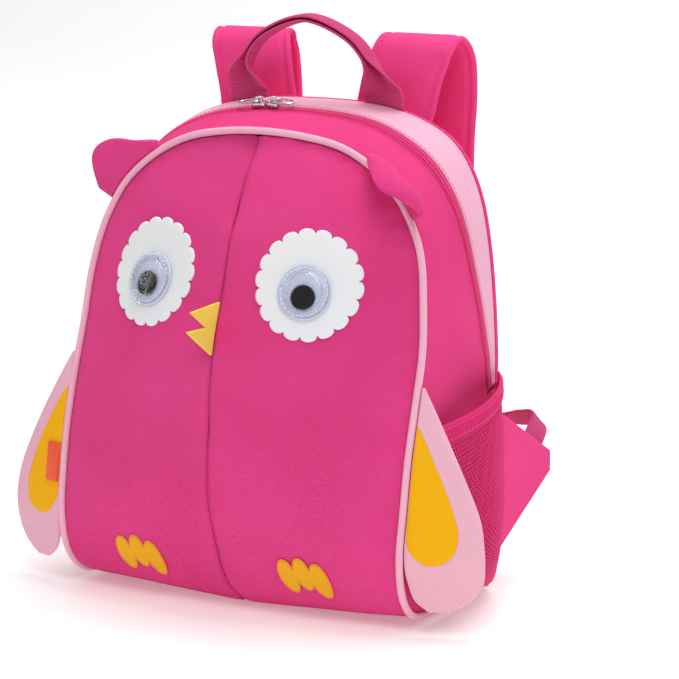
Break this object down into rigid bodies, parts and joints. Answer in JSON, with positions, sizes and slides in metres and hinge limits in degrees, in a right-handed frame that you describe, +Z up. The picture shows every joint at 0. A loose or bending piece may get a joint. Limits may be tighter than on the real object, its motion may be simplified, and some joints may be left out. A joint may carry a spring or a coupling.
{
  "type": "toddler backpack",
  "caption": "Small upright child's backpack with an owl face, rolling-pupil eyes, wings, mesh side pockets, zipped top, carry handle and padded shoulder straps.",
  "frame": {"origin": "centre of the bounding box in plan, at the base it stands on", "axes": "+Z up, the owl's face looks along -Y, +X is on the viewer's right"},
  "size_m": [0.2944, 0.1956, 0.3137],
  "materials": {
    "face_fabric": "fine diagonal twill",
    "band_fabric": "plain weave",
    "pale_fabric": "plain weave",
    "piping_satin": "smooth satin cord",
    "back_fabric": "padded plain weave",
    "zip_tape": "woven tape with nylon coil",
    "chrome": "polished plating",
    "ear_fabric": "fine diagonal twill",
    "wing_fabric": "fine twill with a printed drop",
    "tag_ribbon": "smooth ribbon",
    "patch_vinyl": "smooth coated cloth",
    "eye_white": "glossy card",
    "eye_clear": "clear vacuum-formed plastic",
    "pupil_black": "gloss black",
    "beak_felt": "matt felt",
    "foot_print": "satin applique",
    "mesh_net": "open knitted mesh",
    "hem_elastic": "folded elastic binding",
    "webbing": "woven webbing",
    "strap_fabric": "padded plain weave",
    "buckle_plastic": "moulded satin"
  },
  "bodies": {
    "bag": {"front_panel_right": "face_fabric", "front_panel_left": "face_fabric", "piping": "piping_satin", "front_gusset": "band_fabric", "zip": "zip_tape", "rear_gusset": "pale_fabric", "back_panel": "back_fabric", "zip_slider_left": "chrome", "zip_slider_right": "chrome", "eye_patch_right": "patch_vinyl", "eye_patch_left": "patch_vinyl", "eye_base_right": "eye_white", "eye_base_left": "eye_white", "eye_dome_right": "eye_clear", "eye_dome_left": "eye_clear", "beak": "beak_felt", "foot_left": "foot_print", "foot_right": "foot_print", "ear_left": "ear_fabric", "ear_right": "ear_fabric", "wing_right": "wing_fabric", "wing_left": "wing_fabric", "side_tag": "tag_ribbon", "mesh_pocket_right": "mesh_net", "mesh_pocket_left": "mesh_net", "pocket_binding_right": "hem_elastic", "pocket_binding_left": "hem_elastic", "carry_handle": "webbing", "shoulder_strap_right": "strap_fabric", "shoulder_strap_left": "strap_fabric", "strap_buckle_right": "buckle_plastic", "strap_buckle_left": "buckle_plastic", "strap_loop_right": "webbing", "strap_loop_left": "webbing", "strap_tab_right": "strap_fabric", "strap_tab_left": "strap_fabric", "strap_webbing_right": "webbing", "strap_webbing_left": "webbing"},
    "pull_left": {"zip_pull_left": "chrome"},
    "pull_right": {"zip_pull_right": "chrome"},
    "pupil_left": {"eye_pupil_left": "pupil_black"},
    "pupil_right": {"eye_pupil_right": "pupil_black"}
  },
  "joints": [
    {"name": "zip_pull_left_swing", "type": "hinge", "parent": "bag", "child": "pull_left", "pos_m": [-0.01747, 0.00444, 0.26667], "axis": [0.013, 0.9755, 0.2196], "range_deg": [0, 100]},
    {"name": "zip_pull_right_swing", "type": "hinge", "parent": "bag", "child": "pull_right", "pos_m": [-0.00892, 0.00431, 0.26701], "axis": [-0.0094, -0.9774, -0.211], "range_deg": [0, 100]},
    {"name": "eye_pupil_left_rise", "type": "slide", "parent": "bag", "child": "pupil_left", "axis": [0.0001, 0.3302, 0.9439], "range_m": [0, 0.0057]},
    {"name": "eye_pupil_right_rise", "type": "slide", "parent": "bag", "child": "pupil_right", "axis": [-0.0001, 0.3302, 0.9439], "range_m": [0, 0.0057]}
  ]
}
